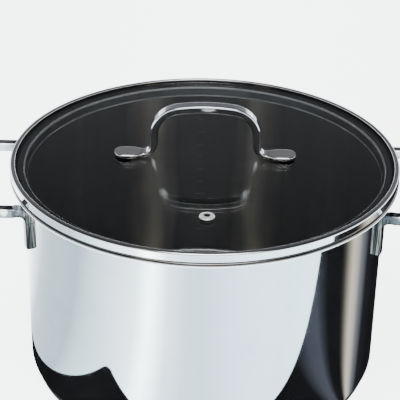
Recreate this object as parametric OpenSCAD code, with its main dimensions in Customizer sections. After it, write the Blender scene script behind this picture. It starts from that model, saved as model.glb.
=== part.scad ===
// Water bath canner: wide mirror-polished stockpot with an encapsulated base,
// two bar side handles, a flat glass lid held in a rolled steel rim, and a
// low wire jar rack with two folding lifting bails.
// Millimetres. +Z is up, the origin is the centre of the base's underside,
// +X points to the right side handle, -Y is the front (the vent's side).

/* [Pot] */
// Outer radius of the pot wall
pot_r = 154.4; // [140:0.1:170]
// Sheet thickness of the pot wall and floor
wall_t = 1.0; // [0.8:0.1:1.2]
// Outer radius of the flared lip
lip_r = 165.3; // [162:0.1:182]
// Height of the lip's top above the base
lip_z = 188.8; // [150:0.1:240]
// Radius of the corner between wall and floor
corner_r = 6; // [5:0.5:10]
// Height of the bottom of the lip's downturned edge, below the lip's top
lip_drop = 3.7; // [3:0.1:6]
// Number of litre marks on the inner wall
marks = 10; // [0:1:12]

/* [Base] */
// Radius of the encapsulated base
base_r = 151; // [140:0.5:152]
// Thickness of the encapsulated base
base_h = 6; // [5:0.5:8]
// Sheet thickness of the base's steel cap
cap_t = 0.8; // [0.6:0.1:1]

/* [Side handles] */
// Width of the handle bar, seen from above
bar_w = 9.6; // [8:0.1:12]
// Height of the handle bar
bar_t = 8; // [6:0.1:10]
// Height of the bar's centre above the base
bar_z = 172; // [160:0.5:176]
// Distance from the middle plane to each leg of the handle
leg_y = 61; // [50:0.5:66]
// Distance from the pot's axis to the outside of the handle
reach = 205; // [195:0.5:215]
// Centreline radius of the handle's two outer corners
loop_r = 15; // [12:0.5:20]
// Height of the lower end of the welded feet
foot_z = 136; // [120:0.5:145]
// Chamfer along the edges of the bar
bar_c = 1.1; // [0.5:0.1:2]

/* [Lid] */
// Outer radius of the lid's steel rim
rim_r = 165; // [160:0.1:182]
// Inner radius of the rim's rolled top edge
rim_in = 160.7; // [156:0.1:176]
// Height of the rim's top above the base
rim_z = 197; // [160:0.1:260]
// Thickness of the flat glass
glass_t = 4; // [3:0.1:4]
// Radius of the glass disc
glass_r = 162.4; // [158:0.1:176]
// Depth of the glass surface below the rim's top
recess = 2; // [1.5:0.1:2.5]

/* [Lid handle] */
// Half of the handle's length over its feet
knob_len = 77; // [70:0.5:85]
// Distance from the middle plane to the outer face of each leg
knob_leg = 46.5; // [42:0.5:50]
// Height of the handle's top above the glass
knob_h = 49.2; // [44:0.1:60]
// Thickness of the bent bar
knob_t = 6.5; // [5:0.1:7]
// Width of the bent bar
knob_w = 10.6; // [9:0.1:13]
// Width of the flattened feet
knob_fw = 17.6; // [14:0.1:20]
// Thickness of the flattened feet
knob_ft = 3.4; // [3:0.1:4.5]
// Distance from the middle plane to each lid screw
screw_x = 69; // [66:0.5:70]

/* [Vent] */
// Position of the vent along X
vent_x = 2.5; // [-10:0.5:10]
// Position of the vent along Y
vent_y = -105; // [-120:1:-80]
// Radius of the vent's bore
vent_r = 2; // [1:0.1:2.4]

/* [Rack] */
// Centreline radius of the rack's outer ring
ring_r = 141; // [130:0.5:143]
// Wire diameter of the outer ring
ring_d = 5; // [4:0.5:6]
// Centreline radius of the rack's inner ring
inner_ring_r = 70; // [50:1:90]
// Wire diameter of the cross wires
wire_d = 3.5; // [3:0.1:4]
// Distance between neighbouring cross wires
wire_pitch = 30; // [24:1:32]
// Height of the outer ring's centre above the pot's floor
ring_h = 8.6; // [8:0.1:20]
// Wire diameter of the lifting bails
bail_d = 4; // [3.5:0.1:4.5]
// Length of each bail from its pivot
bail_len = 105; // [80:1:110]
// Distance from the middle plane to a bail's side
bail_y = 38; // [30:1:44]

/* [Hidden] */
$fn = 96;

in_r = pot_r - wall_t;                 // inner wall radius
floor_z = base_h + wall_t;             // top of the pot's floor
flat_r = pot_r - corner_r;             // radius of the flat part of the floor
glass_top = rim_z - recess;
glass_bot = glass_top - glass_t;
gap = 0.3;                             // clearance between bodies that lift apart
litre_h = 1e6 / (PI * in_r * in_r);    // height of one litre in the pot
gasket_t = 1.2;
foot_bot = glass_top + gasket_t;       // underside of the lid handle's feet
ring_z = floor_z + gap + ring_h;       // centre of the rack's rings
wire_z = ring_z + ring_d/2 + wire_d/2 - 0.2;  // cross wires sink 0.2 into the rings at the welds
bail_z = wire_z + wire_d/2 + 0.5 + bail_d/2;  // bails lie half a millimetre above the wires
lug_y = 45;
lug_x = sqrt(ring_r*ring_r - lug_y*lug_y);
bend_r = 11;                           // centreline radius of the handle's downward bend
foot_c = pot_r + 1;                    // radius of the foot's centreline, 3 mm of it lies inside the wall and is cut away
turn_r = foot_c + bend_r + 2.5;        // radius at which the leg turns towards the pot's axis
phi = asin(leg_y / turn_r);            // angle of each foot round the wall
turn_in = 8;                           // centreline radius of that turn
lap = 0.05;                            // stretches of bar run into each other by this much

// points of an arc about c, from angle a to angle b, in n steps
function arc(c, r, a, b, n = 12) = [for (i = [0:n]) let (t = a + (b - a)*i/n) [c[0] + r*cos(t), c[1] + r*sin(t)]];

// ---------- pot ----------

// deep-drawn body: floor, rounded corner, wall, flared lip with a downturned edge
module pot_shell() {
    zt = lip_z;
    color([0.80, 0.81, 0.83])
    difference() {
        rotate_extrude($fn = 180) polygon(concat(
            [[0, base_h], [flat_r, base_h]],
            arc([flat_r, base_h + corner_r], corner_r, -90, 0),
            arc([pot_r + 1.5, zt - 2.5], 1.5, 180, 90, 8),
            arc([lip_r - 2.5, zt - 2.5], 1.5, 90, 0, 8),
            [[lip_r - 1, zt - lip_drop + 0.3], [lip_r - 0.7, zt - lip_drop], [lip_r - 0.3, zt - lip_drop], [lip_r, zt - lip_drop + 0.3]],
            arc([lip_r - 2.5, zt - 2.5], 2.5, 0, 90, 10),
            arc([pot_r + 1.5, zt - 2.5], 2.5, 90, 180, 10),
            arc([flat_r, base_h + corner_r], corner_r - wall_t, 0, -90),
            [[0, floor_z]]));
        // litre marks, shallow grooves low on the back of the inner wall
        if (marks > 0) for (i = [1:marks]) let (z = floor_z + litre_h*(i + 1), a = i % 5 == 4 ? 3.4 : 2)
            if (z < lip_z - 30) rotate([0, 0, 90 + 1.7 - a/2]) rotate_extrude(angle = a) translate([in_r - 0.5, z - 0.35]) square([0.7, 0.7]);
    }
}

// aluminium heat-spreading disc sealed inside the base
module base_core() {
    color([0.75, 0.75, 0.77]) rotate_extrude($fn = 180) polygon(concat(
        [[0, cap_t], [base_r - cap_t - 1, cap_t], [base_r - cap_t, cap_t + 1]],
        [for (r = [base_r - cap_t, base_r - cap_t - 0.6, base_r - cap_t - 1.2]) [r, corner_z(r) - 0.02]],
        [[flat_r, base_h], [0, base_h]]));
}
// height of the pot's rounded corner, from below, at radius r
function corner_z(r) = base_h + corner_r - sqrt(corner_r*corner_r - (r - flat_r)*(r - flat_r));

// steel cap pressed over the aluminium disc
module base_cap() {
    ro = base_r; ri = base_r - cap_t;
    color([0.72, 0.73, 0.75]) rotate_extrude($fn = 180) polygon(concat(
        [[0, 0]], arc([ro - 1.8, 1.8], 1.8, -90, 0, 8),
        [[ro, corner_z(ro) - 0.03], [ri, corner_z(ri) - 0.03]],
        [[ri, cap_t + 1], [ri - 1, cap_t], [0, cap_t]]));
}

// ---------- side handles ----------

// chamfered bar section: u across the bar, v through its height
function bar_pts(u, v, c) = [[-u/2 + c, -v/2], [u/2 - c, -v/2], [u/2, -v/2 + c], [u/2, v/2 - c],
                             [u/2 - c, v/2], [-u/2 + c, v/2], [-u/2, v/2 - c], [-u/2, -v/2 + c]];
// bar along +X from x0 to x1 at y and the bar's height
module leg(x0, x1, y) translate([x0, y, bar_z]) rotate([90, 0, 90]) linear_extrude(x1 - x0) polygon(bar_pts(bar_w, bar_t, bar_c));

// one foot, drawn with the pot's axis at the origin and the foot on +X: stub, downward bend, flat of the foot
module foot() {
    cx = foot_c + bend_r; cz = bar_z - bend_r;
    translate([cx - lap, 0, bar_z]) rotate([90, 0, 90]) linear_extrude(turn_r - turn_in*tan(phi/2) - cx + 2*lap) polygon(bar_pts(bar_w, bar_t, bar_c));
    translate([cx, 0, cz]) rotate([90, 0, 0]) rotate([0, 0, 90]) rotate_extrude(angle = 90, $fn = 64) translate([bend_r, 0]) polygon(bar_pts(bar_t, bar_w, bar_c));
    translate([foot_c, 0, foot_z]) linear_extrude(cz - foot_z + lap) polygon(bar_pts(bar_t, bar_w, bar_c));
}

// turn in plan that joins a leg parallel to X to the radial stub
module turn() {
    px = turn_r*cos(phi);
    tl = turn_in*tan(phi/2);
    translate([px + tl, leg_y - turn_in, bar_z]) rotate([0, 0, 90]) rotate_extrude(angle = phi, $fn = 64) translate([turn_in, 0]) polygon(bar_pts(bar_w, bar_t, bar_c));
}

module side_handle() {
    cx = reach - bar_w/2 - loop_r; cy = leg_y - loop_r;
    difference() {
        union() {
            for (s = [0, 1]) mirror([0, s, 0]) {
                rotate([0, 0, phi]) foot();
                turn();
                leg(turn_r*cos(phi) + turn_in*tan(phi/2) - lap, cx + lap, leg_y);
                translate([cx, cy, bar_z]) rotate_extrude(angle = 90, $fn = 64) translate([loop_r, 0]) polygon(bar_pts(bar_w, bar_t, bar_c));
            }
            translate([reach - bar_w/2, -cy - lap, bar_z]) rotate([-90, 0, 0]) linear_extrude(2*cy + 2*lap) polygon(bar_pts(bar_w, bar_t, bar_c));
        }
        translate([0, 0, foot_z - 5]) cylinder(r = pot_r, h = bar_z - foot_z + 15, $fn = 180);
    }
}
module right_handle() color([0.78, 0.79, 0.81]) side_handle();
module left_handle() color([0.78, 0.79, 0.81]) rotate([0, 0, 180]) side_handle();

// ---------- lid ----------

module lid_glass() {
    color([0.55, 0.6, 0.6, 0.45]) difference() {
        rotate_extrude($fn = 180) polygon([[0, glass_bot], [glass_r - 0.6, glass_bot], [glass_r, glass_bot + 0.6],
                                           [glass_r, glass_top - 0.6], [glass_r - 0.6, glass_top], [0, glass_top]]);
        for (s = [-1, 1]) translate([s*screw_x, 0, glass_bot - 1]) cylinder(r = 4.6, h = glass_t + 2);
        translate([vent_x, vent_y, glass_bot - 1]) cylinder(r = 4.2, h = glass_t + 2);
    }
}

// rolled steel rim: channel round the glass's edge, flange under it and a skirt inside the pot
module lid_rim() {
    zb = lip_z + gap;
    color([0.82, 0.83, 0.85]) rotate_extrude($fn = 180) polygon(concat(
        arc([rim_r - 1.3, zb + 1.3], 1.3, -90, 0, 6),
        arc([rim_r - 1.8, rim_z - 1.8], 1.8, 0, 90, 8),
        arc([rim_in + 0.8, rim_z - 0.8], 0.8, 90, 180, 6),
        [[rim_in, glass_top + 0.4], [rim_r - 0.8, glass_top + 0.4], [rim_r - 0.8, zb + 0.8]],
        arc([in_r + 0.3, zb - 0.4], 1.2, 90, 180, 6),
        [[in_r - 2.7, zb - 7.7], [in_r - 2.5, zb - 7.9], [in_r - 2.1, zb - 7.9], [in_r - 1.9, zb - 7.7]],
        [[in_r - 0.25, zb - 0.7], [in_r + 0.25, zb]]));
}

// silicone channel between the glass's edge and the steel rim
module rim_seal() {
    zb = lip_z + gap + 0.8;
    ro = rim_r - 0.8;
    color([0.15, 0.15, 0.15]) rotate_extrude($fn = 180) polygon([
        [glass_r - 4, zb], [ro, zb], [ro, glass_top + 0.4], [rim_in + 0.3, glass_top + 0.4], [rim_in + 0.3, glass_top],
        [glass_r - 0.6, glass_top], [glass_r, glass_top - 0.6], [glass_r, glass_bot + 0.6], [glass_r - 0.6, glass_bot], [glass_r - 4, glass_bot]]);
}

// lid handle: one bar bent to an arch, its ends flattened into feet.
// Half of the side view as matching points of the outer and the inner face,
// from the middle of the top to the tip of the foot, each with its width.
ktop = glass_top + knob_h;
kr = 26;                               // outer radius of the arch's corners
ka = 9;                                // angle the crowned top turns through on each side
kR = (knob_leg - kr + kr*cos(90 - ka)) / sin(ka);   // large radius of the crowned top
kc = [knob_leg - kr, ktop - kR*(1 - cos(ka)) - kr*sin(90 - ka)];
kf = foot_bot + knob_ft;               // top of the foot
k_out = concat(
    [for (i = [0:5]) let (t = ka*i/5) [kR*sin(t), ktop - kR*(1 - cos(t))]],
    [for (i = [1:10]) let (t = (90 - ka)*(1 - i/10)) [kc[0] + kr*cos(t), kc[1] + kr*sin(t)]],
    [for (i = [1:3]) [knob_leg, kc[1] + (kf + 7 - kc[1])*i/3]],
    [for (i = [1:8]) let (t = 180 + 11.25*i) [knob_leg + 7 + 7*cos(t), kf + 7 + 7*sin(t)]],
    [for (x = [57, 60.5, 64, 67, 69.5, 71.5, 73.2, 74.6, 75.7, 76.5, knob_len]) [x, kf]]);
k_in = concat(
    [for (i = [0:5]) let (t = ka*i/5) [(kR - knob_t)*sin(t), ktop - knob_t - (kR - knob_t)*(1 - cos(t))]],
    [for (i = [1:10]) let (t = (90 - ka)*(1 - i/10)) [kc[0] + (kr - knob_t)*cos(t), kc[1] + (kr - knob_t)*sin(t)]],
    [for (i = [1:3]) [knob_leg - knob_t, kc[1] + (foot_bot + 14 - kc[1])*i/3]],
    [for (i = [1:8]) let (t = 180 + 11.25*i) [knob_leg - knob_t + 14 + 14*cos(t), foot_bot + 14 + 14*sin(t)]],
    [for (x = [57, 60.5, 64, 67, 69.5, 71.5, 73.2, 74.6, 75.7, 76.5, knob_len]) [x, foot_bot]]);
// width along the handle: bar, swelling foot, rounded tip
function k_width(x) = x < 51 ? knob_w
    : x < 62 ? knob_w + (knob_fw - knob_w)*(0.5 - 0.5*cos(180*(x - 51)/11))
    : x < knob_len - 7.5 ? knob_fw
    : knob_fw - 2*7.5*(1 - sqrt(max(0, 1 - pow((x - knob_len + 7.5)/7.6, 2))));
k_half = [for (i = [0:len(k_out) - 1]) let (x = max(k_out[i][0], k_in[i][0])) [k_out[i], k_in[i], i < 19 ? knob_w : k_width(x)]];
k_n = len(k_half);
// whole handle from the left foot's tip to the right foot's tip
k_st = concat([for (i = [k_n - 1:-1:1]) [[-k_half[i][0][0], k_half[i][0][1]], [-k_half[i][1][0], k_half[i][1][1]], k_half[i][2]]], k_half);
// rounded rectangle round one station: a runs across the width, b from inner to outer face
k_cs = concat([for (t = [0, 45, 90]) [1, 1, t]], [for (t = [90, 135, 180]) [-1, 1, t]],
              [for (t = [180, 225, 270]) [-1, -1, t]], [for (t = [270, 315, 360]) [1, -1, t]]);
function k_ring(s) = let (o = s[0], n = s[1], w = s[2], th = norm(o - n), e = (o - n)/th, m = (o + n)/2, r = min(1.5, th*0.35))
    [for (q = k_cs) let (a = q[0]*(w/2 - r) + r*cos(q[2]), b = q[1]*(th/2 - r) + r*sin(q[2])) [m[0] + e[0]*b, a, m[1] + e[1]*b]];
module lid_handle() {
    m = len(k_cs); n = len(k_st);
    pts = [for (s = k_st) each k_ring(s)];
    sides = [for (i = [0:n - 2]) for (j = [0:m - 1]) let (a = i*m + j, b = i*m + (j + 1)%m, c = (i + 1)*m + (j + 1)%m, d = (i + 1)*m + j) each [[a, b, c], [a, c, d]]];
    color([0.80, 0.81, 0.83]) polyhedron(points = pts,
        faces = concat([[for (j = [m - 1:-1:0]) j]], sides, [[for (j = [0:m - 1]) (n - 1)*m + j]]), convexity = 6);
}

module at_screws() for (s = [-1, 1]) translate([s*screw_x, 0, 0]) children();

// threaded inserts welded under the handle's feet
module handle_inserts() color([0.7, 0.7, 0.72]) at_screws() translate([0, 0, glass_bot + 0.3]) difference() {
    cylinder(r = 3.5, h = foot_bot - glass_bot - 0.3);
    translate([0, 0, -1]) cylinder(r = 2.55, h = 20);
}
// black silicone gaskets under the feet, each with a sleeve that lines the hole in the glass
module handle_gaskets() color([0.08, 0.08, 0.08]) at_screws() rotate_extrude() polygon([
    [3.5, glass_bot + 0.3], [4.6, glass_bot + 0.3], [4.6, glass_top], [6.9, glass_top], [7.3, glass_top + 0.4], [7.3, foot_bot - 0.3], [7, foot_bot], [3.5, foot_bot]]);
module handle_lower_gaskets() color([0.08, 0.08, 0.08]) at_screws() translate([0, 0, glass_bot - 1]) difference() {
    cylinder(r = 7, h = 1);
    translate([0, 0, -1]) cylinder(r = 2.8, h = 4);
}
module handle_washers() color([0.75, 0.75, 0.77]) at_screws() translate([0, 0, glass_bot - 1.8]) difference() {
    cylinder(r = 6.5, h = 0.8);
    translate([0, 0, -1]) cylinder(r = 2.7, h = 4);
}
// pan-head screws from inside the lid, with hexagon sockets
module handle_screws() color([0.75, 0.75, 0.77]) at_screws() translate([0, 0, glass_bot - 1.8]) difference() {
    union() {
        rotate_extrude() polygon(concat([[0, 0], [4.8, 0]], arc([3.6, -1.2], 1.2, 0, -90, 6), [[0, -2.4]]));
        translate([0, 0, -0.01]) cylinder(r = 2.5, h = 6.4);
    }
    translate([0, 0, -3]) cylinder(r = 1.75, h = 2, $fn = 6);
}

module at_vent() translate([vent_x, vent_y, 0]) children();
// steel eyelet that lines the steam vent, flared over at the bottom
module vent_eyelet() color([0.85, 0.86, 0.87]) at_vent() rotate_extrude() polygon(concat(
    [[vent_r, glass_bot - 2.1], [4.4, glass_bot - 2.1], [4.6, glass_bot - 1.8], [4.4, glass_bot - 1.3], [3.2, glass_bot - 1.3], [3.2, glass_top + 0.5], [6, glass_top + 0.5]],
    arc([5.5, glass_top + 0.9], 0.8, -20, 80, 6),
    arc([vent_r + 0.9, glass_top + 1.2], 0.9, 90, 180, 6)));
module vent_washer() color([0.7, 0.7, 0.72]) at_vent() translate([0, 0, glass_bot - 1.3]) difference() {
    cylinder(r = 6.2, h = 0.7);
    translate([0, 0, -1]) cylinder(r = 3.2, h = 4);
}
module vent_seal() color([0.1, 0.1, 0.1]) at_vent() rotate_extrude() polygon([
    [3.2, glass_bot - 0.6], [5.6, glass_bot - 0.6], [5.6, glass_bot], [4.2, glass_bot], [4.2, glass_top], [5.8, glass_top], [5.8, glass_top + 0.5], [3.2, glass_top + 0.5]]);

// ---------- rack ----------

module ring_wire(r, d, z) translate([0, 0, z]) rotate_extrude($fn = 144) translate([r, 0]) circle(d = d, $fn = 24);
// straight wire from a to b
module rod(a, b, d) let (v = b - a, l = norm(v)) translate(a) rotate([0, acos(v[2]/l), atan2(v[1], v[0])]) cylinder(d = d, h = l, $fn = 24);
// quarter bend of wire in the plane of the current X and Y, about the origin
module elbow(r, d) rotate_extrude(angle = 90, $fn = 48) translate([r, 0]) circle(d = d, $fn = 24);

module rack_outer_ring() color([0.74, 0.75, 0.77]) ring_wire(ring_r, ring_d, ring_z);
module rack_inner_ring() color([0.74, 0.75, 0.77]) ring_wire(inner_ring_r, ring_d, ring_z);
// parallel wires that carry the jars, welded across both rings
module rack_cross_wires() color([0.74, 0.75, 0.77]) {
    k = floor((ring_r - 18)/wire_pitch);
    for (i = [-k:k]) let (y = i*wire_pitch, x = sqrt(pow(ring_r + 1, 2) - y*y)) rod([-x, y, wire_z], [x, y, wire_z], wire_d);
}
// four U-shaped wire feet welded inside the outer ring
module rack_feet() color([0.74, 0.75, 0.77]) {
    d = 4; r = 5; hw = 14; zb = floor_z + gap + d/2; zt = ring_z + 1.8;
    for (a = [45:90:315]) rotate([0, 0, a]) translate([ring_r - ring_d/2 - d/2 + 0.2, 0, 0]) {
        rod([0, -hw + r, zb], [0, hw - r, zb], d);
        for (s = [0, 1]) mirror([0, s, 0]) {
            rod([0, hw, zb + r], [0, hw, zt], d);
            translate([0, hw - r, zb + r]) rotate([0, 90, 0]) elbow(r, d);
        }
    }
}
// pivot lugs for the bails, welded on the outer ring
module rack_pivot_lugs() color([0.72, 0.73, 0.75])
    for (sx = [-1, 1], sy = [-1, 1]) translate([sx*lug_x, sy*lug_y, 0]) difference() {
        union() {
            translate([0, 1.5, bail_z]) rotate([90, 0, 0]) cylinder(r = 4.4, h = 3);
            translate([-4.4, -1.5, ring_z]) cube([8.8, 3, bail_z - ring_z]);
        }
        translate([0, 5, bail_z]) rotate([90, 0, 0]) cylinder(r = bail_d/2 + 0.1, h = 10);
    }

// folding bail, drawn folded inwards from a pivot axis parallel to Y at x = lug_x
module bail() {
    r = 5; rc = 14; x1 = lug_x - bail_len;
    for (s = [0, 1]) mirror([0, s, 0]) {
        translate([lug_x, bail_y + r, bail_z]) rotate([-90, 0, 0]) {
            cylinder(d = bail_d, h = lug_y - bail_y - r + 3.4, $fn = 24);
            // upset head that keeps the bail in its lug
            translate([0, 0, lug_y - bail_y - r + 2.2]) cylinder(d = bail_d + 1.6, h = 1.2, $fn = 24);
        }
        translate([lug_x - r, bail_y + r, bail_z]) rotate([180, 0, 0]) elbow(r, bail_d);
        rod([x1 + rc, bail_y, bail_z], [lug_x - r, bail_y, bail_z], bail_d);
        translate([x1 + rc, bail_y - rc, bail_z]) rotate([0, 0, 90]) elbow(rc, bail_d);
    }
    rod([x1, -bail_y + rc, bail_z], [x1, bail_y - rc, bail_z], bail_d);
}
module right_bail() color([0.70, 0.71, 0.73]) bail();
module left_bail() color([0.70, 0.71, 0.73]) mirror([1, 0, 0]) bail();

pot_shell();
base_core();
base_cap();
left_handle();
right_handle();
lid_glass();
lid_rim();
rim_seal();
lid_handle();
handle_inserts();
handle_gaskets();
handle_lower_gaskets();
handle_washers();
handle_screws();
vent_eyelet();
vent_washer();
vent_seal();
rack_outer_ring();
rack_inner_ring();
rack_cross_wires();
rack_feet();
rack_pivot_lugs();
left_bail();
right_bail();
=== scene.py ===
import math

import bmesh
import bpy
from mathutils import Matrix, Vector


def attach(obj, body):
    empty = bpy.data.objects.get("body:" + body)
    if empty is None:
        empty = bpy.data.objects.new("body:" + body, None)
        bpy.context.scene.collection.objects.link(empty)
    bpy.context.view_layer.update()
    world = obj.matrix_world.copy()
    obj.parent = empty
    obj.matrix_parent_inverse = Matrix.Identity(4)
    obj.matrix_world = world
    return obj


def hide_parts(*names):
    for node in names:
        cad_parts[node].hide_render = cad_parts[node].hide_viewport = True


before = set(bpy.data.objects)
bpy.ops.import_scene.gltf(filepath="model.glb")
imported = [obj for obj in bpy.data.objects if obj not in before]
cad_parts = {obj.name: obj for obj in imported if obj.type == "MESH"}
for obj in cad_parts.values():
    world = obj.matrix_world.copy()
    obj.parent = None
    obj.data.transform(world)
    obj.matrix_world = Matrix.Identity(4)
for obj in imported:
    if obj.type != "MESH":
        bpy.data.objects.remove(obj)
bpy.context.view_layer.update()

S = 0.001
rad = math.radians

# ---------------------------------------------------------------- dimensions, mm, as in the CAD
pot_r, wall_t, lip_r, lip_z, corner_r, lip_drop = 154.4, 1.0, 165.3, 188.8, 6.0, 3.7
base_r, base_h, cap_t = 151.0, 6.0, 0.8
bar_w, bar_t, bar_z, leg_y, reach, loop_r, foot_z, bar_c = 9.6, 8.0, 172.0, 61.0, 205.0, 15.0, 136.0, 1.1
rim_r, rim_in, rim_z, glass_t, glass_r, recess = 165.0, 160.7, 197.0, 4.0, 162.4, 2.0
knob_len, knob_leg, knob_h, knob_t, knob_w, knob_fw, knob_ft, screw_x = 77.0, 46.5, 49.2, 6.5, 10.6, 17.6, 3.4, 69.0
vent_x, vent_y, vent_r = 2.5, -105.0, 2.0
ring_r, ring_d, inner_ring_r, wire_d, wire_pitch, ring_h = 141.0, 5.0, 70.0, 3.5, 30.0, 8.6
bail_d, bail_len, bail_y = 4.0, 105.0, 38.0
in_r = pot_r - wall_t
floor_z = base_h + wall_t
flat_r = pot_r - corner_r
glass_top = rim_z - recess
glass_bot = glass_top - glass_t
gap = 0.3
litre_h = 1e6 / (math.pi * in_r * in_r)
foot_bot = glass_top + 1.2
ring_z = floor_z + gap + ring_h
wire_z = ring_z + ring_d / 2 + wire_d / 2 - 0.2
bail_z = wire_z + wire_d / 2 + 0.5 + bail_d / 2
lug_y = 45.0
lug_x = math.sqrt(ring_r ** 2 - lug_y ** 2)
bend_r = 11.0
foot_c = pot_r + 1
turn_r = foot_c + bend_r + 2.5
phi = math.asin(leg_y / turn_r)
turn_in = 8.0


def arc(cx, cy, r, a, b, n):
    return [(cx + r * math.cos(rad(a + (b - a) * i / n)), cy + r * math.sin(rad(a + (b - a) * i / n))) for i in range(n + 1)]


# ---------------------------------------------------------------- materials
def new_mat(name):
    m = bpy.data.materials.new(name)
    m.use_nodes = True
    nt = m.node_tree
    b = next(n for n in nt.nodes if n.type == "BSDF_PRINCIPLED")
    return m, nt, b


def put(nt, kind, **kw):
    n = nt.nodes.new(kind)
    for k, v in kw.items():
        if k in n.inputs and not hasattr(n, k):
            n.inputs[k].default_value = v
        elif hasattr(n, k):
            setattr(n, k, v)
        else:
            n.inputs[k.replace("_", " ")].default_value = v
    return n


def noise(nt, vec, scale, detail=3.0, rough=0.5, distortion=0.0):
    n = nt.nodes.new("ShaderNodeTexNoise")
    n.inputs["Scale"].default_value = scale
    n.inputs["Detail"].default_value = detail
    n.inputs["Roughness"].default_value = rough
    n.inputs["Distortion"].default_value = distortion
    nt.links.new(vec, n.inputs["Vector"])
    return n.outputs["Fac"]


def ranged(nt, val, a, b, lo=0.3, hi=0.7):
    n = nt.nodes.new("ShaderNodeMapRange")
    n.inputs["From Min"].default_value = lo
    n.inputs["From Max"].default_value = hi
    n.inputs["To Min"].default_value = a
    n.inputs["To Max"].default_value = b
    nt.links.new(val, n.inputs["Value"])
    return n.outputs["Result"]


def math_node(nt, op, a, b=None):
    n = nt.nodes.new("ShaderNodeMath")
    n.operation = op
    for i, v in enumerate((a, b)):
        if v is None:
            continue
        if isinstance(v, (int, float)):
            n.inputs[i].default_value = v
        else:
            nt.links.new(v, n.inputs[i])
    return n.outputs[0]


def ramp(nt, val, stops):
    n = nt.nodes.new("ShaderNodeValToRGB")
    e = n.color_ramp.elements
    while len(e) < len(stops):
        e.new(0.5)
    for el, (p, c) in zip(e, stops):
        el.position = p
        el.color = (*c, 1)
    nt.links.new(val, n.inputs["Fac"])
    return n.outputs["Color"]


def bump(nt, height, strength, distance, normal=None):
    n = nt.nodes.new("ShaderNodeBump")
    n.inputs["Strength"].default_value = strength
    n.inputs["Distance"].default_value = distance
    nt.links.new(height, n.inputs["Height"])
    if normal is not None:
        nt.links.new(normal, n.inputs["Normal"])
    return n.outputs["Normal"]


def object_coords(nt):
    return nt.nodes.new("ShaderNodeTexCoord").outputs["Object"]


def stretched(nt, vec, sx, sy, sz):
    n = nt.nodes.new("ShaderNodeMapping")
    n.inputs["Scale"].default_value = (sx, sy, sz)
    nt.links.new(vec, n.inputs["Vector"])
    return n.outputs["Vector"]


def polar(nt, vec, k_angle, k_r, k_z):
    """Coordinates round the pot's axis: angle, radius and height, each with its own scale."""
    sep = nt.nodes.new("ShaderNodeSeparateXYZ")
    nt.links.new(vec, sep.inputs[0])
    x, y, z = sep.outputs
    ang = math_node(nt, "ARCTAN2", y, x)
    r = math_node(nt, "SQRT", math_node(nt, "ADD", math_node(nt, "MULTIPLY", x, x), math_node(nt, "MULTIPLY", y, y)))
    comb = nt.nodes.new("ShaderNodeCombineXYZ")
    nt.links.new(math_node(nt, "MULTIPLY", ang, k_angle), comb.inputs[0])
    nt.links.new(math_node(nt, "MULTIPLY", r, k_r), comb.inputs[1])
    nt.links.new(math_node(nt, "MULTIPLY", z, k_z), comb.inputs[2])
    return comb.outputs[0]


def mixed(nt, fac, a, b):
    n = nt.nodes.new("ShaderNodeMix")
    n.data_type = "RGBA"
    nt.links.new(fac, n.inputs["Factor"])
    for name, v in (("A", a), ("B", b)):
        s = [i for i in n.inputs if i.name == name and i.type == "RGBA"][0]
        if isinstance(v, tuple):
            s.default_value = (*v, 1)
        else:
            nt.links.new(v, s)
    return [o for o in n.outputs if o.type == "RGBA"][0]


def polished(name, dark, light, r0, r1, ripple=0.25, lines="polar"):
    """Mirror-polished stainless steel: cloudy wiping marks, fine buffing lines and a little long-wave ripple."""
    m, nt, b = new_mat(name)
    co = object_coords(nt)
    cloud = noise(nt, co, 22.0, 4.0, 0.55, 0.4)
    wipe = noise(nt, stretched(nt, co, 14.0, 14.0, 60.0), 1.0, 3.0, 0.5, 0.8)
    nt.links.new(ramp(nt, cloud, [(0.30, dark), (0.52, light), (0.75, tuple(0.5 * (p + q) for p, q in zip(dark, light)))]), b.inputs["Base Color"])
    b.inputs["Metallic"].default_value = 1.0
    nt.links.new(ranged(nt, math_node(nt, "MULTIPLY", cloud, wipe), r0, r1, 0.12, 0.42), b.inputs["Roughness"])
    if lines == "polar":
        fine = noise(nt, polar(nt, co, 9.0, 900.0, 3800.0), 1.0, 2.0, 0.6)
    else:
        fine = noise(nt, stretched(nt, co, 120.0, 2600.0, 2600.0), 1.0, 2.0, 0.6)
    n1 = bump(nt, fine, 0.05, 0.00002)
    n2 = bump(nt, noise(nt, co, 9.0, 1.0, 0.4), ripple, 0.00035, n1)
    nt.links.new(n2, b.inputs["Normal"])
    return m


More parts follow.
